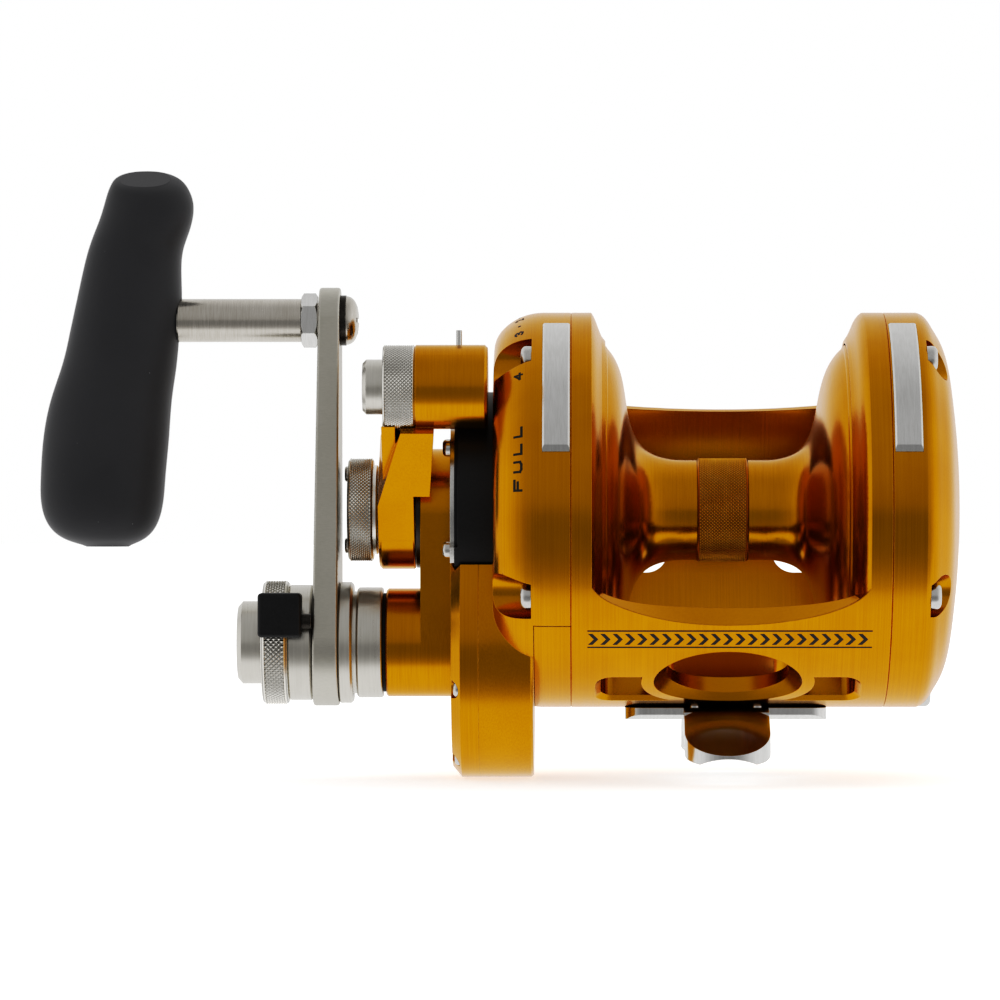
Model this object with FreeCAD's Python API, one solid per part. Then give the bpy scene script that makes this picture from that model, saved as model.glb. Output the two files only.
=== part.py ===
import FreeCAD, Part
import math, os

# Two-speed lever-drag trolling reel, right-hand crank.
# Frame: X runs along the spool axis, +X towards the palm side plate and -X towards
# the crank; -Y is the front, towards the rod tip; +Z is up.
# The origin is midway between the two rod-clamp stud holes, on the underside of the
# foot's flange.  Shapes are drawn with the spool axis at z = 0 and lifted by AXIS_Z.
os.makedirs("parts", exist_ok=True)
V = FreeCAD.Vector

# ---------------- driving dimensions, mm ----------------
AXIS_Z = 46.5          # spool axis above the underside of the foot flange
R_BODY = 44.0          # radius of frame rings and side plates
R_BORE = 37.2          # bore of the frame rings, round the spool flanges
R_SHELL_IN = 38.6      # inside of the frame's lower shell
FX0, FX1 = -34.4, 35.1     # frame, outer faces of its rings
WX0, WX1 = -29.9, 30.6     # line opening between the rings
GP_X0 = -51.4          # outer face of the gear side plate
PP_X1 = 51.8           # crown of the palm side plate
HZ = -29.6             # crank axis below the spool axis
R_LOBE = 30.0          # gear case, round the crank axis
LOBE_X0, LOBE_X1 = -60.6, -42.7
SEAM_X = -54.6         # joint between gear cover and side plate
R_GEARCAV = 25.0
R_PINCAV = 13.4
R_BOSS_S = 13.6        # raised boss round the spool axis
R_BOSS_H = 12.06       # raised boss round the crank axis
SPINDLE_R = 3.5
SPOOL_R = 36.8
ARBOR_R = 11.2
MODULE = 0.8
Z_HIGH, Z_PIN_H = 58, 16
Z_LOW, Z_PIN_L = 46, 28
PRESSURE = 25.0
BACKLASH = 0.20
SHAFT_R = 6.0
LEVER_R = 36.0         # spool axis to the middle of the lever knob
LEVER_TILT = 41.6      # lever leans forward of straight up, degrees
GRIP_Z = 42.3          # grip spindle above the spool axis
STUD_R, STUD_SPACING = 2.5, 36.0
SCREW_ANGLES = [53.6, -27.0, 126.4, 207.0]


# ---------------- helpers ----------------
def cylx(r, x0, x1, y=0.0, z=0.0):
    return Part.makeCylinder(r, x1 - x0, V(x0, y, z), V(1, 0, 0))


def tube(ro, ri, x0, x1, y=0.0, z=0.0):
    return cylx(ro, x0, x1, y, z).cut(cylx(ri, x0 - 1, x1 + 1, y, z))


def box(x0, x1, y0, y1, z0, z1):
    return Part.makeBox(x1 - x0, y1 - y0, z1 - z0, V(x0, y0, z0))


def prof(items):
    """Closed face in the X-R plane; an item is a point, or a list of points for a curve."""
    edges, last, first = [], None, None
    for it in items:
        if isinstance(it, list):
            pts = [V(a, 0, b) for a, b in it]
            if last is not None:
                if (last - pts[0]).Length > 1e-6:
                    edges.append(Part.LineSegment(last, pts[0]).toShape())
            if first is None:
                first = pts[0]
            c = Part.BSplineCurve()
            c.interpolate(pts)
            edges.append(c.toShape())
            last = pts[-1]
        else:
            p = V(it[0], 0, it[1])
            if first is None:
                first = p
            elif (p - last).Length > 1e-6:
                edges.append(Part.LineSegment(last, p).toShape())
            last = p
    if (last - first).Length > 1e-6:
        edges.append(Part.LineSegment(last, first).toShape())
    return Part.Face(Part.Wire(edges))


def rev(items, y=0.0, z=0.0, a=360.0):
    s = prof(items).revolve(V(0, 0, 0), V(1, 0, 0), a)
    s.translate(V(0, y, z))
    return s


def cyl_ch(r, x0, x1, y=0.0, z=0.0, c0=0.4, c1=0.4):
    """Turned disc with both rims broken."""
    return rev([(x0, 0), (x0, r - c0), (x0 + c0, r), (x1 - c1, r), (x1, r - c1), (x1, 0)], y, z)


def hull(z1, r1, z2, r2, x0, x1):
    """Bar with round ends, radius r1 about (0, z1) and r2 about (0, z2), z2 above z1."""
    s = (r1 - r2) / (z2 - z1)
    c = math.sqrt(1 - s * s)
    p1, p2 = V(x0, r1 * c, z1 + r1 * s), V(x0, r2 * c, z2 + r2 * s)
    q1, q2 = V(x0, -r1 * c, z1 + r1 * s), V(x0, -r2 * c, z2 + r2 * s)
    w = Part.Wire([Part.Arc(p2, V(x0, 0, z2 + r2), q2).toShape(),
                   Part.LineSegment(q2, q1).toShape(),
                   Part.Arc(q1, V(x0, 0, z1 - r1), p1).toShape(),
                   Part.LineSegment(p1, p2).toShape()])
    return Part.Face(w).extrude(V(x1 - x0, 0, 0))


def sector(ro, ri, x0, x1, a0, a1):
    """Ring sector about the spool axis; angles rise from the front (-Y) over the top."""
    def pt(r, a):
        return V(x0, -r * math.cos(math.radians(a)), r * math.sin(math.radians(a)))
    am = (a0 + a1) / 2.0
    w = Part.Wire([Part.Arc(pt(ro, a0), pt(ro, am), pt(ro, a1)).toShape(),
                   Part.LineSegment(pt(ro, a1), pt(ri, a1)).toShape(),
                   Part.Arc(pt(ri, a1), pt(ri, am), pt(ri, a0)).toShape(),
                   Part.LineSegment(pt(ri, a0), pt(ro, a0)).toShape()])
    return Part.Face(w).extrude(V(x1 - x0, 0, 0))


def at(a, r):
    """(y, z) at radius r and elevation a, risen from the front over the top."""
    return (-r * math.cos(math.radians(a)), r * math.sin(math.radians(a)))


def gear(nz, x0, x1, y, z, phase, bore):
    """Spur gear about X; phase is the angle of one tooth, from +Y towards +Z."""
    m, pa = MODULE, math.radians(PRESSURE)
    rp = m * nz / 2.0
    rb, ra, rf = rp * math.cos(pa), rp + 0.9 * m, rp - 1.15 * m
    inv = math.tan(pa) - pa
    half = math.pi / (2 * nz) - BACKLASH / (4.0 * rp)
    r_lo = max(rb, rf + 0.01)
    rad = [r_lo + (ra - r_lo) * k / 5.0 for k in range(6)]
    flank = []
    for r in rad:
        al = math.acos(min(1.0, rb / r))
        flank.append((r, half + inv - (math.tan(al) - al)))
    pts = []
    for i in range(nz):
        t = phase + 2 * math.pi * i / nz
        pts.append((rf, t - flank[0][1] - 0.004))
        pts += [(r, t - a) for r, a in flank]
        pts += [(r, t + a) for r, a in reversed(flank)]
        pts.append((rf, t + flank[0][1] + 0.004))
    vs = [V(x0, y + r * math.cos(a), z + r * math.sin(a)) for r, a in pts]
    g = Part.Face(Part.makePolygon(vs + [vs[0]])).extrude(V(x1 - x0, 0, 0))
    return g.cut(cylx(bore, x0 - 1, x1 + 1, y, z))


def one(shape):
    """The single solid of a boolean's result."""
    shape = shape.removeSplitter()
    sol = sorted(shape.Solids, key=lambda s: -s.Volume)
    return sol[0]


def group(shapes):
    return Part.makeCompound([s for sh in shapes for s in (sh.Solids or [sh])])


def save(name, shape):
    sh = shape.copy()
    sh.translate(V(0, 0, AXIS_Z))
    sh.exportStep("parts/" + name + ".step")
    ok = all(s.isValid() for s in sh.Solids)
    b = sh.BoundBox
    print("%-26s solids %2d vol %9.1f %s  x %.1f..%.1f y %.1f..%.1f z %.1f..%.1f" % (
        name, len(sh.Solids), sh.Volume, "ok " if ok else "BAD",
        b.XMin, b.XMax, b.YMin, b.YMax, b.ZMin, b.ZMax))


# ================= frame =================
# Two rings joined by a lower shell, milled from one piece.
left_ring = rev([(FX0, R_BORE), (-26.8, R_BORE), (-26.8, 37.7), [(-27.6, 38.7), (-28.3, 40.4), (-29.0, 42.3), (-29.9, R_BODY)],
                 (FX0 + 0.2, R_BODY), (FX0, R_BODY - 0.2)])
right_ring = rev([(FX1, R_BORE), (26.6, R_BORE), (26.6, 37.9), [(27.2, 38.8), (28.0, 40.4), (28.9, 42.4), (30.4, R_BODY)],
                  (FX1 - 0.2, R_BODY), (FX1, R_BODY - 0.2)])
shell = tube(R_BODY, R_SHELL_IN, -31.0, 31.5)


def outline(pts, top, y0, y1):
    """Prism from a curved lower edge up to z = top."""
    c = Part.BSplineCurve()
    c.interpolate([V(a, y0, b) for a, b in pts])
    w = Part.Wire([c.toShape(),
                   Part.LineSegment(V(pts[-1][0], y0, pts[-1][1]), V(pts[-1][0], y0, top)).toShape(),
                   Part.LineSegment(V(pts[-1][0], y0, top), V(pts[0][0], y0, top)).toShape(),
                   Part.LineSegment(V(pts[0][0], y0, top), V(pts[0][0], y0, pts[0][1])).toShape()])
    return w


OUT_A = [(-31.2, -13.0), (-28.4, -18.3), (-23.7, -20.9), (-14.0, -23.7), (-1.0, -24.9), (13.5, -23.9), (24.0, -21.3), (29.2, -18.3), (31.8, -13.0)]
OUT_B = [(-31.2, -9.0), (-28.0, -15.6), (-22.5, -18.1), (-13.0, -19.4), (-1.0, -20.0), (12.5, -19.5), (22.5, -18.0), (28.6, -15.6), (31.8, -9.0)]
cut_a = Part.Face(outline(OUT_A, 60, -36.0, 0)).extrude(V(0, -30, 0))
cut_ab = Part.makeLoft([outline(OUT_A, 60, -36.0, 0), outline(OUT_B, 60, -31.0, 0)], True, True)
cut_b = Part.Face(outline(OUT_B, 60, -31.0, 0)).extrude(V(0, 31.1, 0))
# rear bar: its top edge is hollowed between the rings and bevelled on the inside
OUT_R = [(-31.2, 24.7), (-24.0, 24.0), (-13.0, 23.3), (0.0, 23.0), (13.0, 23.3), (24.5, 24.1), (31.8, 24.8)]
OUT_RB = [(a, b - 1.5) for a, b in OUT_R]
rear_cut = Part.Face(outline(OUT_R, 60, 0, 0)).extrude(V(0, 60, 0))
rear_bev = Part.makeLoft([outline(OUT_RB, 60, 28.0, 0), outline(OUT_R, 60, 33.2, 0)], True, True)
shell = shell.cut(cut_a).cut(cut_ab).cut(cut_b).cut(rear_cut).cut(rear_bev)
frame = left_ring.fuse(right_ring).fuse(shell)
# oval hole in the front lower bar, with a wide chamfer
HOLE_A = -59.0
hd = V(0, -math.cos(math.radians(HOLE_A)), math.sin(math.radians(HOLE_A)))


def oval(rx, rt, h):
    """Oval outline on the hole's own axis, at height h from the spool axis; rx along X, rt round the body."""
    c = Part.Ellipse(V(0, 0, 0), rx, rt).toShape()
    c.rotate(V(0, 0, 0), V(1, 0, 0), 90.0 - HOLE_A)
    c.translate(hd * h)
    return Part.Wire([c])


hole = Part.makeLoft([oval(13.5, 9.6, 30.0), oval(13.5, 9.6, 47.0)], True, True)
cone = Part.makeLoft([oval(13.5, 9.6, 41.2), oval(19.3, 15.4, 47.0)], True, True)
frame = frame.cut(hole).cut(cone)


def slot_window(x0, x1, a_mid, half, rc, r_in=30.0, r_out=50.0):
    """Window with round corners through the shell, aimed from the axis at elevation a_mid."""
    w = Part.makeBox(x1 - x0, 2 * half, r_out - r_in, V(x0, -half, r_in))
    w = w.makeFillet(rc, [e for e in w.Edges if abs(e.Vertexes[0].Z - e.Vertexes[1].Z) > 1])
    # local +Z is turned to the wanted elevation about the X axis
    w.rotate(V(0, 0, 0), V(1, 0, 0), 90.0 - a_mid)
    return w


def rrect(x0, x1, half, rc, h):
    """Round-cornered rectangle at height h, its long side along X."""
    pts = [(x0 + rc, -half), (x1 - rc, -half), (x1, -half + rc), (x1, half - rc), (x1 - rc, half), (x0 + rc, half), (x0, half - rc), (x0, -half + rc)]
    k = rc * (1 - math.sqrt(0.5))
    mid = {1: (x1 - k, -half + k), 3: (x1 - k, half - k), 5: (x0 + k, half - k), 7: (x0 + k, -half + k)}
    es = []
    for i in range(8):
        a, b = pts[i], pts[(i + 1) % 8]
        if i in mid:
            es.append(Part.Arc(V(a[0], a[1], h), V(mid[i][0], mid[i][1], h), V(b[0], b[1], h)).toShape())
        else:
            es.append(Part.LineSegment(V(a[0], a[1], h), V(b[0], b[1], h)).toShape())
    return Part.Wire(es)


def bevel_window(x0, x1, a_mid, half, rc, cham):
    """slot_window with its outer edge bevelled."""
    w = Part.makeLoft([rrect(x0, x1, half, rc, 30.0), rrect(x0, x1, half, rc, 48.0)], True, True)
    h0 = 44.2 - cham
    w = w.fuse(Part.makeLoft([rrect(x0, x1, half, rc, h0), rrect(x0 - 3.0, x1 + 3.0, half + 3.0, rc + 3.0, h0 + 3.0)], True, True))
    w.rotate(V(0, 0, 0), V(1, 0, 0), 90.0 - a_mid)
    return w


# side windows of the lower bar, front pair and their rear twins; the front pair leave a rim standing round the oval hole
keep = Part.makeLoft([oval(19.0, 14.0, 30.0), oval(19.0, 14.0, 50.0)], True, True)
for xa, xb in ((-27.8, -11.0), (11.5, 28.0)):
    frame = frame.cut(bevel_window(xa, xb, -64.6, 5.5, 2.6, 1.6).cut(keep))
    frame = frame.cut(slot_window(xa, xb, 249.0, 7.0, 3.2))
# rear windows either side of a middle web
for xa, xb in ((-26.4, -12.2), (11.8, 26.6)):
    frame = frame.cut(slot_window(xa, xb, 184.6, 11.6, 5.0))
# foot seat: flat milled on the underside
frame = frame.cut(box(-27.0, 27.6, -9.0, 9.0, -60, -43.9))
frame = one(frame)

# ================= gear side plate =================
GP_PROFILE = [(FX0, 0), (FX0, R_BODY - 0.15), (FX0 - 0.15, R_BODY),
              [(-40.5, R_BODY), (-44.5, 43.35), (-48.2, 41.4), (-50.5, 38.9), (GP_X0, 35.6)], (GP_X0, 0)]
gplate = rev(GP_PROFILE)
gplate = gplate.fuse(rev([(SEAM_X, 0), (SEAM_X, 17.0), (GP_X0 + 1, 17.0), (GP_X0 + 1, 0)]))
lobe = rev([(SEAM_X, 0), (SEAM_X, R_LOBE), (LOBE_X1 - 0.5, R_LOBE), (LOBE_X1, R_LOBE - 0.5), (LOBE_X1, 0)], 0, HZ)
gplate = gplate.fuse(lobe)
gplate = gplate.fuse(cylx(11.0, -46.0, -38.6, 0, HZ).common(cylx(R_BODY - 0.5, -46.0, -38.0)))
# drag cavity, kept clear of the boss round the inner crank bearing
drag_cav = cylx(37.2, -42.0, FX0 + 1).cut(cylx(11.0, -43.0, -38.6, 0, HZ))
gplate = gplate.cut(drag_cav)
gear_cav = cylx(R_GEARCAV, SEAM_X - 1, -44.8, 0, HZ).fuse(cylx(R_PINCAV, SEAM_X - 1, -44.8))
gplate = gplate.cut(gear_cav)
gplate = gplate.cut(cylx(9.0, -45.0, -40.0))                       # drive bearing seat
gplate = gplate.fuse(tube(11.0, 9.0, -42.2, -40.0))
gplate = gplate.cut(cylx(8.0, -45.0, -40.2, 0, HZ))                 # inner crank bearing seat
# lower rim segment is a piece of its own
RIM_X0, RIM_X1 = -42.5, FX0
rim_env = sector(46.0, 37.2, RIM_X0, RIM_X1 + 1, -90.0, -34.8)
gplate_full = gplate
rim_segment = gplate_full.common(sector(46.0, 37.25, RIM_X0 + 0.12, RIM_X1, -89.9, -35.0))
gplate = gplate.cut(rim_env)


def scallop(a, x_face, x_end, sgn, r=4.9, rad=40.9):
    y, z = at(a, rad)
    s = cylx(r, min(x_face, x_end), max(x_face, x_end), y, z)
    return s


GS_END = -43.0
for a in SCREW_ANGLES:
    gplate = gplate.cut(scallop(a, GP_X0 - 6, GS_END, 1))
# pocket round the front end of the quadrant
QUAD_A0, QUAD_A1 = -28.0, 160.0
quad_pocket = sector(26.9, 19.6, LOBE_X0 - 1, GP_X0, QUAD_A0 - 1.5, QUAD_A1 + 1.5)
gplate = gplate.cut(quad_pocket)

# ================= gear cover =================
cover = rev([(SEAM_X, 0), (SEAM_X, R_LOBE), (LOBE_X0 + 2.0, R_LOBE), (LOBE_X0, R_LOBE - 2.4), (LOBE_X0, 0)], 0, HZ)
cover = cover.fuse(cylx(17.0, LOBE_X0, SEAM_X))
raised = hull(HZ, R_BOSS_H, 0.0, R_BOSS_S, -67.7, LOBE_X0 + 0.5)
skirt = hull(HZ, R_BOSS_H + 1.6, 0.0, R_BOSS_S + 1.6, -61.0, LOBE_X0 + 0.6)
cover = cover.fuse(raised).fuse(skirt)
cover = cover.fuse(rev([(-75.5, 0), (-75.5, R_BOSS_H - 0.4), (-75.1, R_BOSS_H), (-66.0, R_BOSS_H), (-66.0, 0)], 0, HZ))
cover = cover.fuse(cylx(7.0, -77.0, -66.0))                          # sleeve the lever turns on
cav = cylx(R_GEARCAV, -59.1, SEAM_X + 1, 0, HZ).fuse(cylx(R_PINCAV, -59.1, SEAM_X + 1))
cover = cover.cut(cav)
cover = cover.cut(cylx(SPINDLE_R + 0.06, -80, -50))
cover = cover.cut(cylx(8.5, -76.0, -69.5, 0, HZ)).cut(cylx(SHAFT_R + 0.6, -76.0, -55.0, 0, HZ))
cover = cover.cut(quad_pocket)
cover = one(cover)
gplate = one(gplate)
rim_segment = one(rim_segment)

# ================= palm side plate =================
pplate = rev([(FX1, 0), (FX1, R_BODY - 0.15), (FX1 + 0.15, R_BODY),
              [(42.4, R_BODY), (44.0, 43.2), (45.8, 40.7), (47.4, 38.0), (48.5, 35.3), (49.6, 29.9), (50.4, 24.0), (51.1, 17.5), (51.6, 9.0), (PP_X1, 0)]])
pcav = rev([(FX1 - 1, 9.0), (FX1 - 1, 38.0), (41.6, 38.0), [(43.4, 36.4), (45.2, 32.0), (46.4, 24.0), (46.9, 9.0)]])
pplate = pplate.cut(pcav).cut(cylx(SPINDLE_R + 0.05, FX1 - 1, 46.0))
PS_END = 43.4
for a in SCREW_ANGLES + [270.0]:
    y, z = at(a, 40.9)
    pplate = pplate.cut(cylx(4.6, PS_END, PP_X1 + 3, y, z))
# click slider: pocket in the crown and slot through it
CLK_Z, CLK_Y0 = 0.0, 22.0
pocket = box(48.2, 55.0, CLK_Y0 - 14.0, CLK_Y0 + 7.0, -4.2, 4.2)
pocket = pocket.makeFillet(4.1, [e for e in pocket.Edges if abs(e.Vertexes[0].X - e.Vertexes[1].X) > 1])
pslot = box(40.0, 50.0, CLK_Y0 - 7.4, CLK_Y0 + 2.4, -1.7, 1.7)
pplate = pplate.cut(pocket).cut(pslot)
pplate = one(pplate)

# ================= rim inlays and harness eyes =================
def inlay(x0, x1, a0, a1, proud=0.45, depth=1.2):
    s = sector(R_BODY + proud, R_BODY - depth, x0, x1, a0, a1)
    try:
        outer = [e for e in s.Edges if all(abs(math.hypot(v.Y, v.Z) - (R_BODY + proud)) < 1e-3 for v in e.Vertexes)]
        s = s.makeChamfer(0.42, outer)
    except Exception:
        pass
    # long bevel at the lower end
    y, z = at(a0 + 2.0, R_BODY + proud)
    t = Part.makeBox(x1 - x0 + 2, 10.0, 10.0, V(x0 - 1, -5.0, 0.0))
    t.rotate(V(0, 0, 0), V(1, 0, 0), 90.0 + 10.0)
    t.translate(V(0, y, z))
    return s.cut(t)


def pocket_for(x0, x1, a0, a1, depth=1.2):
    return sector(R_BODY + 3, R_BODY - depth, x0 - 0.02, x1 + 0.02, a0 - 0.03, a1 + 0.03)


IN_L = (-40.6, -34.6)
IN_R = (35.5, 41.6)
IN_A = (16.6, 68.4)
inlay_l = inlay(IN_L[0], IN_L[1], *IN_A)
inlay_r = inlay(IN_R[0], IN_R[1], *IN_A)
gplate = one(gplate.cut(pocket_for(IN_L[0], IN_L[1], *IN_A)))
pplate = one(pplate.cut(pocket_for(IN_R[0], IN_R[1], *IN_A)))


def eye(xm, w=6.4):
    """Harness eye on the rear of a ring: steel lug with a 7 mm hole along X."""
    y, z = at(142.0, 47.6)
    lug = cylx(6.2, xm - w / 2, xm + w / 2, y, z)
    y1, z1 = at(142.0, 43.0)
    leg = Part.makeBox(w, 12.0, 8.0, V(xm - w / 2, -6.0, 40.4))
    leg.rotate(V(0, 0, 0), V(1, 0, 0), 90.0 - 142.0)
    e = lug.fuse(leg).cut(cylx(3.5, xm - w, xm + w, y, z))
    return one(e)


def eye_pocket(xm, w=6.4):
    leg = Part.makeBox(w + 0.04, 12.04, 12.0, V(xm - w / 2 - 0.02, -6.02, 40.38))
    leg.rotate(V(0, 0, 0), V(1, 0, 0), 90.0 - 142.0)
    y, z = at(142.0, 47.6)
    return leg.fuse(cylx(6.25, xm - w / 2 - 0.02, xm + w / 2 + 0.02, y, z))


EYE_L, EYE_R = -37.8, 38.5
eye_l, eye_r = eye(EYE_L), eye(EYE_R)
gplate = one(gplate.cut(eye_pocket(EYE_L)))
pplate = one(pplate.cut(eye_pocket(EYE_R)))

# ================= reel foot =================
# Flange with wings under the frame, tongues falling away to the front and the rear,
# hollowed underneath to sit on the rod.
FT = -43.9
yz = [(-8.6, FT), (-11.0, FT - 0.5), (-14.0, FT - 1.8), (-19.0, FT - 4.4), (-24.0, FT - 7.0), (-31.0, FT - 10.4)]
yz_low = [(-31.0, FT - 12.2), (-25.0, FT - 11.2), (-18.0, FT - 9.2), (-10.0, FT - 6.6), (-4.0, FT - 5.6), (0.0, FT - 5.4)]


def spl(pts):
    c = Part.BSplineCurve()
    c.interpolate([V(-9.4, a, b) for a, b in pts])
    return c.toShape()


up_f = yz
lo_f = yz_low
up_r = [(-a, b) for a, b in reversed(yz)]
lo_r = [(-a, b) for a, b in reversed(yz_low)]
edges = [Part.LineSegment(V(-9.4, 8.6, FT), V(-9.4, -8.6, FT)).toShape(), spl(up_f),
         Part.LineSegment(V(-9.4, -31.0, FT - 10.4), V(-9.4, -31.0, FT - 12.2)).toShape(),
         spl(lo_f + lo_r[1:]),
         Part.LineSegment(V(-9.4, 31.0, FT - 12.2), V(-9.4, 31.0, FT - 10.4)).toShape(), spl(up_r)]
foot = Part.Face(Part.Wire(edges)).extrude(V(18.8, 0, 0))
plan = box(-9.4, 9.4, -20.6, 20.6, -80, -40)
for s in (-1, 1):
    plan = plan.fuse(Part.makeCylinder(9.4, 40, V(0, s * 20.0, -80), V(0, 0, 1)))
foot = foot.common(plan)
# crowned across, like the rod below it
foot = foot.common(Part.makeCylinder(22.0, 90, V(0, -45, FT - 21.6), V(0, 1, 0)).fuse(box(-9.4, 9.4, -12.0, 12.0, -80, FT)))
wings = box(-22.4, 22.4, -8.0, 8.0, -AXIS_Z, FT)
wings = wings.makeFillet(4.0, [e for e in wings.Edges if abs(e.Vertexes[0].Z - e.Vertexes[1].Z) > 1])
# underside bevelled along the front and rear edges and at the ends
for s in (-1, 1):
    e = Part.Face(Part.makePolygon([V(-30, s * 8.2, -AXIS_Z - 0.1), V(-30, s * 5.6, -AXIS_Z - 0.1), V(-30, s * 8.2, -AXIS_Z + 1.1), V(-30, s * 8.2, -AXIS_Z - 0.1)]))
    wings = wings.cut(e.extrude(V(60, 0, 0)))
foot = foot.fuse(wings)
for s in (-1, 1):
    foot = foot.cut(Part.makeCylinder(STUD_R, 20, V(s * STUD_SPACING / 2, 0, -AXIS_Z - 10), V(0, 0, 1)))
# hollow that sits on the rod, running front to back
foot = foot.cut(Part.makeCylinder(16.0, 90, V(0, -45, FT - 26.4), V(0, 1, 0)))
foot = one(foot)


def pan_screw(r, h, shank_r, shank_l, base, d, key=0.9):
    """Domed cap screw with a hex socket; base is the seat of the head, d points out of it."""
    n = V(*d)
    head = Part.makeCylinder(r, h * 0.55, base, n)
    dome = Part.makeCylinder(r, h * 0.45, base + n * (h * 0.55), n)
    try:
        hd_ = Part.makeCylinder(r, h, base, n)
        e = [x for x in hd_.Edges if x.Curve.TypeId == 'Part::GeomCircle' and (x.Curve.Center - (base + n * h)).Length < 1e-4]
        head = hd_.makeFillet(h * 0.55, e)
    except Exception:
        head = head.fuse(dome)
    sh = Part.makeCylinder(shank_r, shank_l, base - n * shank_l, n)
    s = head.fuse(sh)
    # hex key socket
    ref = V(0, 0, 1) if abs(n.z) < 0.9 else V(1, 0, 0)
    u = n.cross(ref).normalize()
    v = n.cross(u).normalize()
    hx = [base + n * (h * 0.45) + (u * math.cos(math.radians(60 * i)) + v * math.sin(math.radians(60 * i))) * key for i in range(6)]
    return one(s.cut(Part.Face(Part.makePolygon(hx + [hx[0]])).extrude(n * h * 2)))


def drill(shape, r, base, d, l):
    return shape.cut(Part.makeCylinder(r, l, base, V(*d)))


gscrews, pscrews = [], []
for a in SCREW_ANGLES:
    y, z = at(a, 40.9)
    gscrews.append(pan_screw(3.0, 2.4, 1.5, 12.5, V(GS_END, y, z), (-1, 0, 0), 1.15))
    gplate = drill(gplate, 1.5, V(GS_END - 1, y, z), (1, 0, 0), 20)
    frame = drill(frame, 1.5, V(FX0 - 0.1, y, z), (1, 0, 0), 4.2)
for a in SCREW_ANGLES + [270.0]:
    y, z = at(a, 40.9)
    pscrews.append(pan_screw(3.0, 2.4, 1.5, 12.2, V(PS_END, y, z), (1, 0, 0), 1.15))
    pplate = drill(pplate, 1.5, V(PS_END + 1, y, z), (-1, 0, 0), 20)
    frame = drill(frame, 1.5, V(FX1 + 0.1, y, z), (-1, 0, 0), 4.1)
# foot screws from inside the frame down into the foot
fscrews = []
for sx, sy in ((-7.0, 5.2), (7.0, 5.2), (-7.0, -5.2), (7.0, -5.2)):
    b = V(sx, sy, -40.4)
    fscrews.append(pan_screw(2.2, 1.4, 1.3, 6.0, b, (0, 0, 1), 0.9))
    frame = frame.cut(Part.makeCylinder(2.4, 8, b, V(0, 0, 1)))
    frame = drill(frame, 1.3, V(sx, sy, -39), (0, 0, -1), 8)
    foot = drill(foot, 1.3, V(sx, sy, -39), (0, 0, -1), 7.4)
# gear cover screws, sunk into the lobe's face
cscrews = []
for ang in (200.0, 245.0, 295.0, 340.0):
    yy = 27.4 * math.cos(math.radians(ang))
    zz = HZ + 27.4 * math.sin(math.radians(ang))
    cover = cover.cut(cylx(2.1, LOBE_X0 - 1, LOBE_X0 + 2.2, yy, zz)).cut(cylx(1.1, LOBE_X0, SEAM_X + 1, yy, zz))
    gplate = gplate.cut(cylx(1.1, SEAM_X - 1, SEAM_X + 5.7, yy, zz))
    cscrews.append(pan_screw(2.0, 1.7, 1.1, 9.2, V(LOBE_X0 + 2.2, yy, zz), (-1, 0, 0), 0.8))
cover, gplate, pplate, frame, foot = one(cover), one(gplate), one(pplate), one(frame), one(foot)

# ================= quadrant =================
quad = sector(26.3, 20.2, -59.9, GP_X0, QUAD_A0, QUAD_A1)
notches = []
quad = quad.cut(sector(30, 24.9, -60.5, -59.2, QUAD_A0 + 10, QUAD_A1 - 10))
qplate = sector(25.6, 20.6, -60.9, -59.9, QUAD_A0 + 1.0, QUAD_A0 + 9.4).fuse(sector(23.6, 20.6, -60.9, -59.9, QUAD_A0 + 1.0, QUAD_A1 - 1.0))
QS = [QUAD_A0 + 5.0, 38.0, 96.0, QUAD_A1 - 5.0]
qscrews = []
for a in QS:
    y, z = at(a, 22.2)
    quad = quad.cut(cylx(0.9, -62, GP_X0 + 1, y, z))
    qplate = qplate.cut(cylx(0.9, -62, GP_X0 + 1, y, z))
    gplate = gplate.cut(cylx(0.9, GP_X0 - 1, GP_X0 + 3.0, y, z))
    qscrews.append(pan_screw(1.9, 1.7, 0.9, 12.0, V(-60.9, y, z), (-1, 0, 0), 0.7))
quad, qplate, gplate = one(quad), one(qplate), one(gplate)

save("frame", frame)
save("gear_side_plate", gplate)
save("lower_rim_segment", rim_segment)
save("gear_cover", cover)
save("palm_side_plate", pplate)
save("rim_inlays", group([inlay_l, inlay_r]))
save("harness_eyes", group([eye_l, eye_r]))
save("reel_foot", foot)
save("gear_plate_screws", group(gscrews))
save("palm_plate_screws", group(pscrews))
save("foot_screws", group(fscrews))
save("gear_cover_screws", group(cscrews))
save("drag_quadrant", quad)
save("quadrant_plate", qplate)
save("quadrant_screws", group(qscrews))

# ================= spool =================
sp = prof([(-30.6, 4.2), (-30.6, 31.6), (-29.4, 31.6), (-29.4, SPOOL_R - 0.3), (-29.1, SPOOL_R), (-26.9, SPOOL_R), (-26.5, SPOOL_R - 0.4),
           [(-26.3, 36.0), (-22.2, 24.4), (-20.9, 18.4), (-17.9, 13.6), (-13.4, 11.6), (-9.5, ARBOR_R)],
           [(9.0, ARBOR_R), (12.6, 11.6), (16.8, 13.6), (19.4, 18.4), (20.8, 24.4), (26.0, 36.0)],
           (26.2, SPOOL_R - 0.4), (26.6, SPOOL_R), (28.9, SPOOL_R), (29.2, SPOOL_R - 0.3), (29.2, 33.6), (28.0, 33.0),
           (23.4, 21.0), (22.6, 12.6), (29.8, 12.0), (29.8, 4.2)])
spool = sp.revolve(V(0, 0, 0), V(1, 0, 0), 360)
spool = spool.cut(cylx(8.0, -31, -26.4)).cut(cylx(8.0, 25.6, 31))
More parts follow.
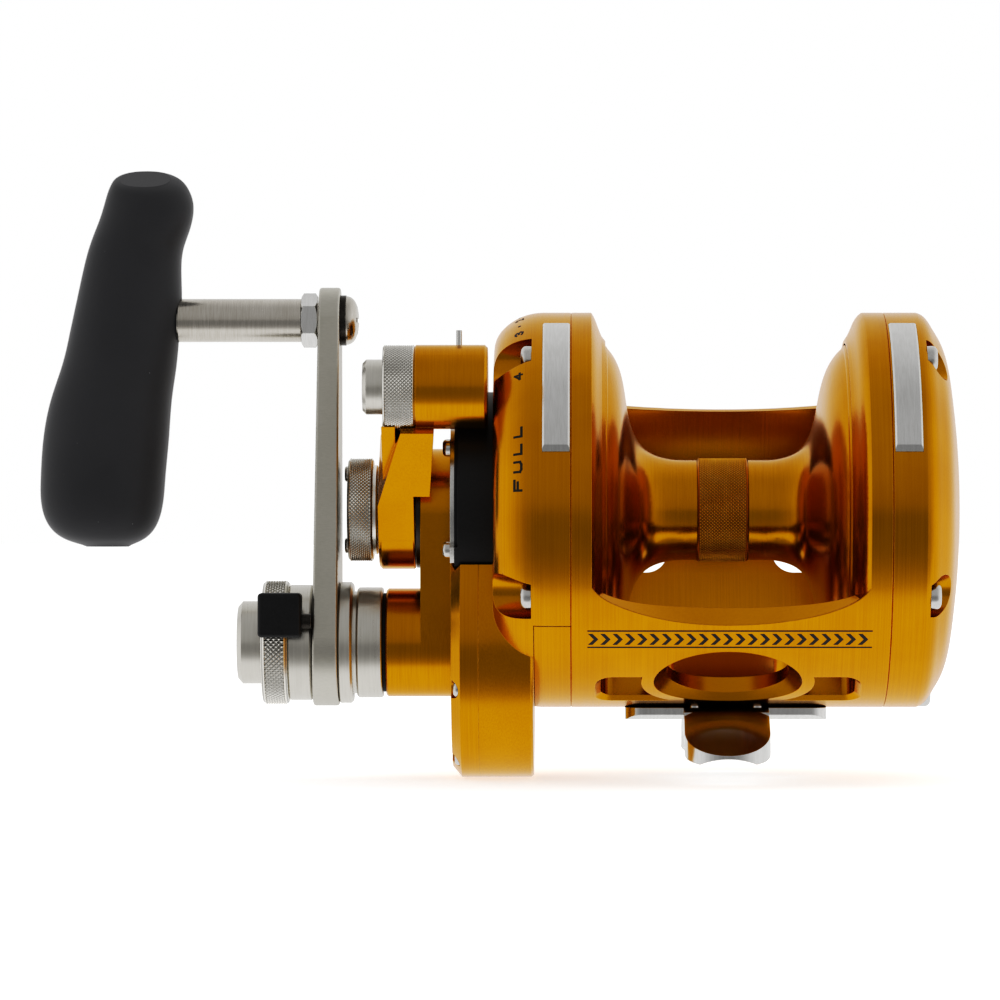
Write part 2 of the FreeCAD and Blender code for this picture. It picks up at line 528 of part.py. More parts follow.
# groove for the arbor band
BAND_X0, BAND_X1 = -6.4, 5.0
spool = one(spool.cut(tube(14.0, ARBOR_R - 0.6, BAND_X0, BAND_X1)))
band = tube(ARBOR_R + 0.45, ARBOR_R - 0.6, BAND_X0, BAND_X1)


def ball_bearing(ro, ri, x0, x1, y=0.0, z=0.0, n=9):
    """Outer ring, inner ring, shields and balls, as separate solids."""
    rm, w = (ro + ri) / 2.0, x1 - x0
    t = (ro - ri) / 2.0
    outer = tube(ro, ro - 0.30 * t, x0, x1, y, z)
    inner = tube(ri + 0.30 * t, ri, x0, x1, y, z)
    xm = (x0 + x1) / 2.0
    rb = min(0.68 * t, 0.44 * w)
    balls = []
    groove_r = rb + 0.02
    tor = Part.makeTorus(rm, groove_r, V(xm, y, z), V(1, 0, 0))
    outer, inner = one(outer.cut(tor)), one(inner.cut(tor))
    for i in range(n):
        a = 2 * math.pi * i / n
        balls.append(Part.makeSphere(rb, V(xm, y + rm * math.cos(a), z + rm * math.sin(a))))
    return [outer, inner] + balls


spool_bearings = group(ball_bearing(7.98, SPINDLE_R + 0.02, -30.4, -26.6) + ball_bearing(7.98, SPINDLE_R + 0.02, 25.8, 29.6))
drag_washer = tube(31.4, 12.5, -32.5, -30.6)
click = gear(24, 29.8, 31.6, 0, 0, 0.0, 6.0)

# ================= spindle and drive =================
spindle = rev([(-83.6, 0), (-83.6, SPINDLE_R - 0.5), (-83.1, SPINDLE_R), (43.2, SPINDLE_R), (43.7, SPINDLE_R - 0.5), (43.7, 0)])
drag_plate = rev([(-36.4, 5.0), (-36.4, 9.0), (-35.4, 9.4), (-35.4, 33.2), (-33.3, 33.2), (-33.3, 5.0)])
sleeve = tube(5.0, SPINDLE_R + 0.3, -54.4, -33.3)
PH = math.pi / 2
g_high = gear(Z_HIGH, -54.3, -50.1, 0, HZ, PH, SHAFT_R)
g_low = gear(Z_LOW, -49.5, -45.3, 0, HZ, PH, SHAFT_R + 0.06)
pin_h = gear(Z_PIN_H, -54.4, -50.0, 0, 0, -PH + math.pi / Z_PIN_H, 5.0)
pin_l = gear(Z_PIN_L, -49.6, -45.2, 0, 0, -PH + math.pi / Z_PIN_L, 5.0)
drive_bearing = group(ball_bearing(9.0, 5.03, -44.3, -40.3, n=11))

# ================= crank shaft =================
shaft = tube(SHAFT_R, 2.9, -98.0, -40.8, 0, HZ)
# slot for the shift key
for s in (-1, 1):
    shaft = shaft.cut(box(-53.6, -45.8, -1.6, 1.6, HZ + (2.0 if s > 0 else -7.0), HZ + (7.0 if s > 0 else -2.0)))
shaft = one(shaft)
# the high gear is keyed at rest; the low gear turns free
key_cut = box(-55, -45.0, -1.62, 1.62, HZ - 7.6, HZ + 7.6)
g_high = one(g_high.cut(key_cut))
# counterbore of the low gear takes the key when it is pushed across
g_low = one(g_low.cut(cylx(7.5, -50.0, -46.3, 0, HZ)))
shift_rod = cyl_ch(2.6, -103.0, -49.9, 0, HZ, 0.2, 0.2)
shift_key = one(box(-53.2, -50.4, -1.5, 1.5, HZ - 7.2, HZ + 7.2).cut(cylx(2.6, -60, -40, 0, HZ)).fuse(tube(2.88, 2.6, -53.2, -50.4, 0, HZ)))
shift_rod = one(shift_rod)
inner_bearing = group(ball_bearing(8.0, SHAFT_R + 0.03, -44.8, -40.9, 0, HZ, 11))
outer_bearing = group(ball_bearing(8.5, SHAFT_R + 0.03, -74.6, -70.6, 0, HZ, 11))
seal = tube(11.0, SHAFT_R + 0.08, -76.15, -75.5, 0, HZ).fuse(tube(8.5, SHAFT_R + 0.08, -75.5, -74.8, 0, HZ))


def ratchet(n, ro, rr, x0, x1, bore):
    pts = []
    for i in range(n):
        a = 2 * math.pi * i / n
        b = 2 * math.pi * (i + 0.86) / n
        pts.append((rr, a))
        pts.append((ro, a + 0.004))
        pts.append((rr + 0.02, b))
    vs = [V(x0, r * math.cos(t), HZ + r * math.sin(t)) for r, t in pts]
    return Part.Face(Part.makePolygon(vs + [vs[0]])).extrude(V(x1 - x0, 0, 0)).cut(cylx(bore, x0 - 1, x1 + 1, 0, HZ))


ratchet_wheel = ratchet(24, 14.0, 12.2, -58.4, -55.4, SHAFT_R)

# anti-reverse pawls, held on pins in the gear cover


def dog(sgn):
    """Pawl that points along the rim of the ratchet; sgn picks the side of the shaft."""
    yp, zp = sgn * 17.8, HZ - 8.5
    d = math.hypot(yp, zp - HZ)
    # nose just clear of the ratchet's tips
    ny, nz = sgn * 14.3, HZ + 3.0
    body = Part.makeCylinder(2.6, 2.6, V(-58.2, yp, zp), V(1, 0, 0))
    w = Part.makePolygon([V(-58.2, yp + sgn * 2.0, zp + 1.6), V(-58.2, ny + sgn * 2.6, nz + 0.6), V(-58.2, ny + sgn * 0.55, nz + 1.2),
                          V(-58.2, ny + sgn * 0.35, nz - 0.8), V(-58.2, yp - sgn * 2.2, zp + 1.4), V(-58.2, yp + sgn * 2.0, zp + 1.6)])
    body = body.fuse(Part.Face(w).extrude(V(2.6, 0, 0)))
    body = body.cut(Part.makeCylinder(1.25, 6, V(-60, yp, zp), V(1, 0, 0)))
    return one(body), (yp, zp)


dog_f, pf = dog(-1)
dog_r, pr_ = dog(1)
dog_pins = group([cylx(1.2, -59.1, -55.0, *pf), cylx(1.2, -59.1, -55.0, *pr_)])

# ================= crank hub =================
bushing = rev([(-82.0, SHAFT_R), (-82.0, 11.9), (-81.6, 12.3), (-76.6, 12.3), (-76.3, 12.0), (-76.3, SHAFT_R)], 0, HZ)
inner_collar = rev([(-85.95, SHAFT_R), (-85.95, 13.2), (-85.65, 13.5), (-83.4, 13.5), (-82.9, 13.0), (-82.9, 11.4), (-82.0, 11.4), (-82.0, SHAFT_R)], 0, HZ)
arm_prism = hull(HZ, 14.1, GRIP_Z, 7.3, -94, -84)
ax = Part.Face(Part.makePolygon([V(-91.9, -30, HZ - 20), V(-90.5, -30, 50), V(-85.85, -30, 50), V(-86.1, -30, HZ - 20), V(-91.9, -30, HZ - 20)])).extrude(V(0, 60, 0))
arm = arm_prism.common(ax)
try:
    es = [e for e in arm.Edges if e.Length > 8 and not any(abs(v.Z - HZ) > 400 for v in e.Vertexes)]
    arm2 = arm.makeFillet(0.55, es)
    if arm2.isValid():
        arm = arm2
except Exception as ex:
    print("arm fillet", ex)
arm = arm.cut(cylx(SHAFT_R, -99, -80, 0, HZ)).cut(cylx(4.0, -95, -84.5, 0, GRIP_Z))
arm = one(arm)
outer_collar = rev([(-97.2, SHAFT_R), (-97.2, 12.4), (-96.8, 12.85), (-92.3, 12.85), (-91.9, 12.5), (-91.9, SHAFT_R)], 0, HZ)
ring = rev([(-103.0, 9.6), (-103.0, 13.2), (-102.4, 13.85), (-97.8, 13.85), (-97.2, 13.2), (-97.2, 9.6)], 0, HZ)
# inner wall that guides the shift button, screwed on the end of the crank shaft
ring = ring.fuse(rev([(-98.2, SHAFT_R), (-98.2, 9.8), (-97.2, 9.8), (-97.2, SHAFT_R)], 0, HZ))
ring = one(ring)
button = rev([(-108.6, 0), (-108.6, 8.1), (-107.6, 9.2), (-102.5, 9.2), (-102.5, 7.0), (-106.6, 7.0), (-106.6, 2.6), (-103.0, 2.6), (-103.0, 0)], 0, HZ)
button = one(button)


def coil(r, wire, x0, x1, turns, y, z):
    h = Part.makeHelix((x1 - x0 - 2 * wire) / turns, x1 - x0 - 2 * wire, r)
    c = Part.Wire([Part.Edge(Part.Circle(V(r, 0, 0), V(0, 1, 0.05), wire))])
    s = Part.Wire(h.Edges).makePipeShell([c], True, True)
    s.rotate(V(0, 0, 0), V(0, 1, 0), 90)
    s.translate(V(x0 + wire, y, z))
    return s


shift_spring = coil(4.6, 0.45, -106.2, -98.4, 5, 0, HZ)

# sliding latch that blocks the shift button
LY = -14.9
latch = Part.makeBox(9.6, 6.4, 9.8, V(-103.4, LY - 2.9, -28.1))
latch = latch.makeFillet(0.9, [e for e in latch.Edges])
latch = latch.cut(cylx(14.25, -104.5, -96.0, 0, HZ)).cut(cylx(13.2, -99.0, -91.5, 0, HZ))
latch = one(latch)
latch = one(latch.cut(cylx(1.78, -99.9, -90, LY + 0.6, -24.6)))
# guide rod the latch slides on, standing on the crank arm
latch_rod = one(cylx(1.7, -97.4, -91.7, LY + 0.6, -24.6))

# ================= grip =================
grip_spindle = rev([(-133.0, 0), (-133.0, 3.2), (-132.4, 3.8), (-122.0, 3.8), (-122.0, 4.8), (-94.6, 4.8), (-94.6, 4.0), (-85.9, 4.0), (-85.9, 0)], 0, GRIP_Z)
nut = Part.Face(Part.makePolygon([V(-94.5, 6.05 * math.cos(math.radians(60 * i + 30)), GRIP_Z + 6.05 * math.sin(math.radians(60 * i + 30))) for i in range(7)])).extrude(V(3.6, 0, 0))
nut = nut.common(rev([(-94.5, 0), (-94.5, 5.3), (-93.9, 6.2), (-91.5, 6.2), (-90.9, 5.3), (-90.9, 0)], 0, GRIP_Z)).cut(cylx(4.0, -96, -89, 0, GRIP_Z))
nut = one(nut)
end_washer = tube(5.6, 2.1, -85.82, -84.6, 0, GRIP_Z)
end_screw = rev([(-84.6, 0), (-84.6, 5.4), [(-84.2, 5.4), (-82.9, 4.6), (-82.1, 2.8), (-81.8, 0)]], 0, GRIP_Z)
end_screw = end_screw.fuse(cylx(2.05, -86.4, -84.0, 0, GRIP_Z))
for aa in (0, 90):
    b = box(-82.9, -81.0, -3.2, 3.2, GRIP_Z - 0.5, GRIP_Z + 0.5)
    b.rotate(V(0, 0, GRIP_Z), V(1, 0, 0), aa)
    end_screw = end_screw.cut(b)
grip_spindle = one(grip_spindle.cut(cylx(2.1, -88.5, -84, 0, GRIP_Z)))
end_screw = one(end_screw)
# T-bar grip: sections (z, x low, x high) from the top to the bottom
# The grip's upper end is an oblique facet that faces up and forward, so the topmost outlines lean.
GRIP_SEC = [(77.1, -135.2, -123.9, 0.40), (76.6, -136.5, -122.6, 0.40), (75.7, -137.2, -121.1, 0.40), (73.9, -137.9, -119.8, 0.38),
            (70.9, -138.6, -118.9, 0.30), (66.9, -139.5, -118.9, 0.18), (62.6, -140.8, -119.8, 0.08), (58.5, -142.0, -121.0, 0.0),
            (53.5, -143.3, -121.5, 0), (47.0, -144.7, -121.4, 0), (40.0, -146.2, -121.9, 0), (33.0, -147.8, -122.5, 0), (25.0, -150.4, -123.6, 0),
            (16.0, -152.2, -124.3, 0), (7.0, -152.8, -125.1, 0), (0.0, -152.4, -125.9, 0), (-4.0, -150.6, -127.4, 0), (-6.6, -147.2, -130.0, 0),
            (-8.2, -142.6, -133.2, 0)]


def ell_wire(z, xa, xb, depth, lean):
    """Oval outline; its plane leans forward and down by lean about its rear edge."""
    cx, rx = (xa + xb) / 2.0, (xb - xa) / 2.0
    n = 24
    pts = []
    for i in range(n):
        t = 2 * math.pi * i / n
        c, s = math.cos(t), math.sin(t)
        e = 0.9
        y = depth * math.copysign(abs(s) ** e, s)
        pts.append(V(cx + rx * math.copysign(abs(c) ** e, c), y, z - lean * (8.0 - y)))
    c = Part.BSplineCurve()
    c.interpolate(pts, PeriodicFlag=True)
    return Part.Wire([c.toShape()])


GRIP_DEPTH = []
for z, xa, xb, k in GRIP_SEC:
    w = (xb - xa) / 2.0
    GRIP_DEPTH.append(min(w * 0.92, 11.8) if z > -3 else w * 0.9)
grip = Part.makeLoft([ell_wire(z, a, b, d, k) for (z, a, b, k), d in zip(GRIP_SEC, GRIP_DEPTH)], True, False)
grip = grip.cut(cylx(3.86, -133.2, -110, 0, GRIP_Z)).cut(cylx(4.9, -122.3, -110, 0, GRIP_Z))
grip = one(grip)

# ================= drag lever =================
def lever_place(s):
    s = s.copy()
    s.rotate(V(0, 0, 0), V(1, 0, 0), LEVER_TILT)
    return s


def lever_cyl(r, x0, x1, off=0.0):
    return cylx(r, x0, x1, 0, LEVER_R + off)


lv = Part.Face(Part.makePolygon([V(-77.0, 0, 0), V(-77.0, 0, 11.5), V(-71.6, 0, 31.0), V(-64.3, 0, 31.0), V(-65.4, 0, 14.2),
                                 V(-69.0, 0, 14.2), V(-69.0, 0, 0), V(-77.0, 0, 0)])).extrude(V(0, 26, 0))
lv.translate(V(0, -13, 0))
plan_l = hull(0.0, 13.2, LEVER_R, 9.2, -80, -60)
lv = lv.common(plan_l)
lv = lv.fuse(cyl_ch(13.2, -77.0, -69.0, 0, 0, 0.6, 0.3))
lv = lv.fuse(Part.makeBox(3.0, 7.0, 20.0, V(-75.8, -8.2, 12.0)).common(plan_l))
lv = lv.cut(cylx(9.3, -78.0, -68.5, 0, LEVER_R))
knob_body = cyl_ch(9.2, -68.5, -52.6, 0, LEVER_R, 0.3, 0.6)
lv = lv.fuse(knob_body)
lv = lv.cut(cylx(7.05, -80, -60))
lv = lv.cut(cylx(4.3, -70, -58.5, 0, LEVER_R))
lever = one(lever_place(lv))
knob_ring = rev([(-75.4, 6.15), (-75.4, 8.7), (-74.9, 9.2), (-69.0, 9.2), (-68.5, 8.8), (-68.5, 6.15)], 0, LEVER_R)
knob_ring = lever_place(knob_ring)
push = rev([(-79.9, 0), (-79.9, 5.2), (-79.1, 6.0), (-74.0, 6.0), (-74.0, 4.2), (-63.5, 4.2), (-63.5, 0)], 0, LEVER_R)
push = lever_place(push)
# small grub pin standing on the knob body, straight up
gy, gz = at(90 - LEVER_TILT, LEVER_R)
knob_pin = Part.makeCylinder(0.6, 4.2, V(-58.85, gy, gz + 8.2), V(0, 0, 1))
lever = one(lever.cut(knob_pin))
washer = tube(12.9, 7.05, -68.75, -67.7)

preset = rev([(-84.0, SPINDLE_R + 0.02), (-84.0, 10.9), (-83.4, 11.5), (-79.0, 11.5), (-78.4, 10.9), (-78.4, 10.0), (-77.4, 10.0), (-77.4, SPINDLE_R + 0.02)])
spindle = one(spindle)
preset_screws = []
for ang in (90.0, 270.0):
    zz = 8.0 if ang < 180 else -8.0
    preset = preset.cut(cylx(1.0, -85, -80, 0, zz))
    preset_screws.append(pan_screw(1.7, 0.9, 1.0, 3.6, V(-84.0, 0, zz), (-1, 0, 0), 0.6))
preset = one(preset)

# ================= click slider =================
cb = box(49.0, 51.0, CLK_Y0 - 6.4, CLK_Y0 + 2.4, -3.4, 3.4)
cb = cb.makeFillet(0.7, [e for e in cb.Edges])
for k in range(4):
    cb = cb.cut(box(50.6, 51.6, CLK_Y0 - 4.6 + k * 1.6, CLK_Y0 - 3.9 + k * 1.6, -2.6, 2.6))
stem = box(32.6, 49.4, CLK_Y0 - 2.9, CLK_Y0 - 0.5, -1.4, 1.4)
click_button = one(cb.fuse(stem.common(box(33.8, 60, -50, 50, -50, 50))))
# tongue at the end of the stem, pointed at the click wheel
CT = 14.7
tongue = Part.Face(Part.makePolygon([V(30.4, CT, -0.15), V(30.4, CT + 2.2, -1.3), V(30.4, CLK_Y0 - 0.1, -1.6), V(30.4, CLK_Y0 - 0.1, 1.6),
                                     V(30.4, CT + 2.2, 1.3), V(30.4, CT, 0.15), V(30.4, CT, -0.15)])).extrude(V(1.1, 0, 0))
tongue = tongue.fuse(box(30.4, 33.8, CLK_Y0 - 2.9, CLK_Y0 - 0.5, -1.4, 1.4))
click_tongue = one(tongue)

save("spool", spool)
save("arbor_band", band)
save("spool_bearings", spool_bearings)
save("drag_washer", drag_washer)
save("click_wheel", click)
save("spool_spindle", spindle)
save("drag_plate", drag_plate)
save("drive_sleeve", sleeve)
save("high_pinion", pin_h)
save("low_pinion", pin_l)
save("drive_bearing", drive_bearing)
save("high_gear", g_high)
save("low_gear", g_low)
save("crank_shaft", shaft)
save("ratchet_wheel", ratchet_wheel)
save("front_pawl", dog_f)
save("rear_pawl", dog_r)
save("pawl_pins", dog_pins)
save("crank_bearings", group([inner_bearing, outer_bearing]))
save("crank_seal", seal)
save("crank_bushing", bushing)
save("crank_inner_collar", inner_collar)
save("crank_arm", arm)
save("crank_outer_collar", outer_collar)
save("crank_ring", ring)
save("shift_button", button)
save("shift_rod", shift_rod)
save("shift_key", shift_key)
save("shift_spring", shift_spring)
save("shift_latch", latch)
save("latch_guide_rod", latch_rod)
save("grip_spindle", grip_spindle)
save("grip_nut", nut)
save("grip_end_washer", end_washer)
save("grip_end_screw", end_screw)
save("grip", grip)
save("drag_lever", lever)
save("lever_knob_ring", knob_ring)
save("lever_push_button", push)
save("lever_knob_pin", knob_pin)
save("lever_washer", washer)
save("preset_knob", preset)
save("preset_knob_screws", group(preset_screws))
save("click_slider", click_button)
save("click_tongue", click_tongue)
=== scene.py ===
import bpy, bmesh, math
from mathutils import Vector, Matrix
from mathutils.bvhtree import BVHTree


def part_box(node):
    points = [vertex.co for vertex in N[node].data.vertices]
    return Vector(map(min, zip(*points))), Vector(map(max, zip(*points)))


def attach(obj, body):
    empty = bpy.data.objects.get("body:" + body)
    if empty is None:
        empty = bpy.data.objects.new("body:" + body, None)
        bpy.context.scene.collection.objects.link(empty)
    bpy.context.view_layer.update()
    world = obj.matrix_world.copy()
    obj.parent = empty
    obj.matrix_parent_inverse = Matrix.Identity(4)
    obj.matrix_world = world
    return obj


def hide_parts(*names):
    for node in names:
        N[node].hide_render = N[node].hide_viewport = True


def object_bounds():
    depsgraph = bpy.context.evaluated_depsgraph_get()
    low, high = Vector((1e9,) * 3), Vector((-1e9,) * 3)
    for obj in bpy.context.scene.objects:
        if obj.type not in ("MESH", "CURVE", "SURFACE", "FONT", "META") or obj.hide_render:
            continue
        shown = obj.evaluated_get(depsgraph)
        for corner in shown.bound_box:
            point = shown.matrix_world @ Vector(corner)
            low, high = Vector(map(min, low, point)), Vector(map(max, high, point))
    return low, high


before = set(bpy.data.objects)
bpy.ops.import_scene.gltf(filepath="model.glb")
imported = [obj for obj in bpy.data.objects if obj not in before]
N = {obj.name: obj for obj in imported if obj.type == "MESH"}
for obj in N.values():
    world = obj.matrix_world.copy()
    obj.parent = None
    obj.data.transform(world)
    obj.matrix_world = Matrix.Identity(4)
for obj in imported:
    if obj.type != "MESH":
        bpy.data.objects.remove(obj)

CAD_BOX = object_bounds()
lo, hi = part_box("spool")
AX = (lo.z + hi.z) / 2.0                 # spool axis height
lo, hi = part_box("crank_bushing")
HX = (lo.z + hi.z) / 2.0                 # crank axis height
lo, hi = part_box("grip_spindle")
GX = (lo.z + hi.z) / 2.0                 # grip spindle height
lo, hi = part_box("lever_knob_ring")
LKY, LKZ = (lo.y + hi.y) / 2.0, (lo.z + hi.z) / 2.0
MM = 0.001
scene = bpy.context.scene
coll = scene.collection


# ------------------------------------------------------------------ materials
class Graph:
    def __init__(self, name):
        self.m = bpy.data.materials.new(name)
        self.m.use_nodes = True
        self.t = self.m.node_tree
        self.t.nodes.clear()
        self.out = self.t.nodes.new("ShaderNodeOutputMaterial")
        self.b = self.t.nodes.new("ShaderNodeBsdfPrincipled")
        self.t.links.new(self.b.outputs[0], self.out.inputs[0])

    def n(self, kind, **kw):
        nd = self.t.nodes.new(kind)
        for k, v in kw.items():
            setattr(nd, k, v)
        return nd

    def l(self, a, b):
        self.t.links.new(a, b)

    def math(self, op, a, b=None, c=None, clamp=False):
        nd = self.n("ShaderNodeMath", operation=op)
        nd.use_clamp = clamp
        for i, v in enumerate((a, b, c)):
            if v is None:
                continue
            if isinstance(v, (int, float)):
                nd.inputs[i].default_value = v
            else:
                self.l(v, nd.inputs[i])
        return nd.outputs[0]

    def noise(self, vec, scale, detail=2.0, rough=0.5):
        nd = self.n("ShaderNodeTexNoise")
        nd.inputs["Scale"].default_value = scale
        nd.inputs["Detail"].default_value = detail
        nd.inputs["Roughness"].default_value = rough
        self.l(vec, nd.inputs["Vector"])
        return nd.outputs["Fac"]

    def mix(self, fac, a, b):
        nd = self.n("ShaderNodeMix", data_type="RGBA")
        if isinstance(fac, (int, float)):
            nd.inputs[0].default_value = fac
        else:
            self.l(fac, nd.inputs[0])
        for i, v in ((6, a), (7, b)):
            if isinstance(v, tuple):
                nd.inputs[i].default_value = v + (1.0,) if len(v) == 3 else v
            else:
                self.l(v, nd.inputs[i])
        return nd.outputs[2]

    def ramp(self, fac, lo, hi, a=0.0, b=1.0):
        nd = self.n("ShaderNodeMapRange")
        nd.interpolation_type = "SMOOTHSTEP"
        self.l(fac, nd.inputs["Value"])
        nd.inputs["From Min"].default_value = lo
        nd.inputs["From Max"].default_value = hi
        nd.inputs["To Min"].default_value = a
        nd.inputs["To Max"].default_value = b
        return nd.outputs[0]


def turned_coords(g, cy, cz, k=3600.0):
    """Coordinates for lathe lines: constant round the axis through (cy, cz), busy along X and along the radius."""
    tc = g.n("ShaderNodeTexCoord")
    sp = g.n("ShaderNodeSeparateXYZ")
    g.l(tc.outputs["Object"], sp.inputs[0])
    y = g.math("SUBTRACT", sp.outputs[1], cy)
    z = g.math("SUBTRACT", sp.outputs[2], cz)
    r = g.math("SQRT", g.math("ADD", g.math("MULTIPLY", y, y), g.math("MULTIPLY", z, z)))
    ang = g.math("ARCTAN2", y, z)
    cb = g.n("ShaderNodeCombineXYZ")
    g.l(g.math("MULTIPLY", sp.outputs[0], k), cb.inputs[0])
    g.l(g.math("MULTIPLY", r, k), cb.inputs[1])
    g.l(g.math("MULTIPLY", ang, 1.1), cb.inputs[2])
    return tc.outputs["Object"], cb.outputs[0]


def line_coords(g, scale):
    """Coordinates for straight brushed lines; scale is per axis."""
    tc = g.n("ShaderNodeTexCoord")
    mp = g.n("ShaderNodeMapping")
    mp.inputs["Scale"].default_value = scale
    g.l(tc.outputs["Object"], mp.inputs["Vector"])
    return tc.outputs["Object"], mp.outputs[0]


def metal(name, dark, light, rough, axis=None, brushed=None, lines=0.10, bump=0.06, coat=0.0, coat_rough=0.15,
          wear=0.0, wear_col=(0.85, 0.80, 0.70), aniso=0.0, mottle=0.5, bevel=0.00022, fine=0.008, valley_shade=None):
    g = Graph(name)
    if axis is not None:
        obj, lin = turned_coords(g, axis[0], axis[1])
    elif brushed is not None:
        obj, lin = line_coords(g, brushed)
    else:
        obj, lin = line_coords(g, (2500.0, 2500.0, 2500.0))
    ln = g.noise(lin, 1.0, 2.5, 0.6)
    big = g.noise(obj, 70.0, 3.0, 0.55)
    sm = g.noise(obj, 900.0, 2.0, 0.6)
    tone = g.math("ADD", g.math("MULTIPLY", big, mottle), g.math("MULTIPLY", ln, 1.0 - mottle))
    tone = g.ramp(tone, 0.3, 0.7)
    col = g.mix(tone, dark, light)
    bv = g.n("ShaderNodeBevel")
    bv.samples = 4
    bv.inputs["Radius"].default_value = bevel
    rr = g.math("ADD", g.math("MULTIPLY", g.math("SUBTRACT", ln, 0.5), lines),
                g.math("MULTIPLY", g.math("SUBTRACT", big, 0.5), 0.10))
    rr = g.math("ADD", rr, g.math("MULTIPLY", g.math("SUBTRACT", sm, 0.5), 0.03))
    rr = g.math("ADD", rr, rough, clamp=True)
    if valley_shade is not None:
        # painted shade: the colour is darkened in the bottoms of the knurl, found by distance from the axis
        cyv, czv, top, depth = valley_shade
        sp = g.n("ShaderNodeSeparateXYZ")
        g.l(obj, sp.inputs[0])
        yv = g.math("SUBTRACT", sp.outputs[1], cyv)
        zv = g.math("SUBTRACT", sp.outputs[2], czv)
        rv = g.math("SQRT", g.math("ADD", g.math("MULTIPLY", yv, yv), g.math("MULTIPLY", zv, zv)))
        deep = g.ramp(rv, top - depth * 0.42, top - depth * 0.95, 0.0, 1.0)
        inside = g.ramp(rv, top - depth * 1.30, top - depth * 1.10, 0.0, 1.0)
        col = g.mix(g.math("MULTIPLY", g.math("MULTIPLY", deep, inside), 0.72), col, tuple(v * 0.22 for v in dark))
    if wear > 0.0:
        geo = g.n("ShaderNodeNewGeometry")
        dp = g.n("ShaderNodeVectorMath", operation="DOT_PRODUCT")
        g.l(bv.outputs[0], dp.inputs[0])
        g.l(geo.outputs["Normal"], dp.inputs[1])
        edge = g.ramp(dp.outputs["Value"], 0.995, 0.90, 0.0, 1.0)
        spot = g.ramp(g.noise(obj, 420.0, 4.0, 0.65), 0.42, 0.62)
        msk = g.math("MULTIPLY", g.math("MULTIPLY", edge, spot), wear, clamp=True)
        col = g.mix(msk, col, wear_col)
    g.l(col, g.b.inputs["Base Color"])
    g.l(rr, g.b.inputs["Roughness"])
    g.b.inputs["Metallic"].default_value = 1.0
    if aniso > 0.0:
        g.b.inputs["Anisotropic"].default_value = aniso
        tg = g.n("ShaderNodeTangent", direction_type="RADIAL", axis="X")
        g.l(tg.outputs[0], g.b.inputs["Tangent"])
    if coat > 0.0:
        g.b.inputs["Coat Weight"].default_value = coat
        g.b.inputs["Coat Roughness"].default_value = coat_rough
        g.b.inputs["Coat IOR"].default_value = 1.5
    h = g.math("ADD", ln, g.math("MULTIPLY", sm, fine * 10.0))
    bp = g.n("ShaderNodeBump")
    bp.inputs["Strength"].default_value = bump
    bp.inputs["Distance"].default_value = 0.00004
    g.l(h, bp.inputs["Height"])
    g.l(bv.outputs[0], bp.inputs["Normal"])
    g.l(bp.outputs[0], g.b.inputs["Normal"])
    return g.m


GOLD_D, GOLD_L = (0.58, 0.262, 0.0012), (0.665, 0.318, 0.0025)
M = {}
M["gold"] = metal("gold_turned_on_spool_axis", GOLD_D, GOLD_L, 0.22, axis=(0, AX), wear=0.18,
                  wear_col=(0.95, 0.72, 0.30), bump=0.05, lines=0.10)
M["gold_crank"] = metal("gold_turned_on_crank_axis", GOLD_D, GOLD_L, 0.22, axis=(0, HX), wear=0.18,
                        wear_col=(0.95, 0.72, 0.30), bump=0.05, lines=0.10)
M["gold_lever"] = metal("gold_satin_lever", GOLD_D, GOLD_L, 0.21, axis=(LKY, LKZ), wear=0.18,
                        wear_col=(0.95, 0.72, 0.30), bump=0.04, lines=0.08)
# the knurled band gets painted shade darkening the bottoms of its knurl
M["gold_knurl"] = metal("gold_knurled_band", (0.72, 0.36, 0.02), (0.92, 0.50, 0.05), 0.34, axis=(0, AX), wear=0.5,
                        wear_col=(1.0, 0.72, 0.25), bump=0.03, bevel=0.00006, valley_shade=(0, AX, 0.01162, 0.00036))
M["silver"] = metal("silver_anodised", (0.60, 0.58, 0.53), (0.70, 0.68, 0.63), 0.30, axis=(0, HX), coat=0.15, coat_rough=0.3, wear=0.3,
                    bump=0.08, lines=0.12)
M["silver_arm"] = metal("silver_anodised_arm", (0.57, 0.555, 0.50), (0.63, 0.61, 0.555), 0.38, brushed=(900.0, 900.0, 4200.0), wear=0.2, bump=0.025, lines=0.06)
M["silver_knob"] = metal("silver_anodised_lever_end", (0.62, 0.60, 0.55), (0.72, 0.70, 0.65), 0.30, axis=(LKY, LKZ), coat=0.15, wear=0.3, bump=0.05)
# the knurled silver pieces get painted shade darkening the bottoms of their knurl
for key, ax, rt, dp_ in (("silver_knurl", (0, AX), 0.01148, 0.00038), ("silver_ring", (0, HX), 0.01383, 0.00044), ("silver_lknurl", (LKY, LKZ), 0.00918, 0.00036)):
    M[key] = metal(key + "ed_piece", (0.78, 0.76, 0.71), (0.90, 0.88, 0.83), 0.26, axis=ax, wear=0.5, wear_col=(0.95, 0.93, 0.88),
                   bump=0.04, bevel=0.00006, valley_shade=(ax[0], ax[1], rt, dp_))
M["steel"] = metal("polished_stainless", (0.66, 0.655, 0.64), (0.76, 0.755, 0.745), 0.17, brushed=(2600.0, 260.0, 260.0), wear=0.15, bump=0.015, lines=0.05)
M["steel_spindle"] = metal("turned_stainless_spindle", (0.54, 0.51, 0.46), (0.66, 0.63, 0.58), 0.24, axis=(0, GX), wear=0.2, bump=0.10, lines=0.12)
M["screw"] = metal("stainless_screws", (0.58, 0.57, 0.55), (0.70, 0.69, 0.67), 0.20, wear=0.3, bump=0.03)
M["black"] = metal("black_anodised", (0.010, 0.010, 0.010), (0.018, 0.018, 0.019), 0.42, wear=0.12, wear_col=(0.25, 0.25, 0.25), bump=0.05)
M["black"].node_tree.nodes["Principled BSDF"].inputs["Metallic"].default_value = 0.0
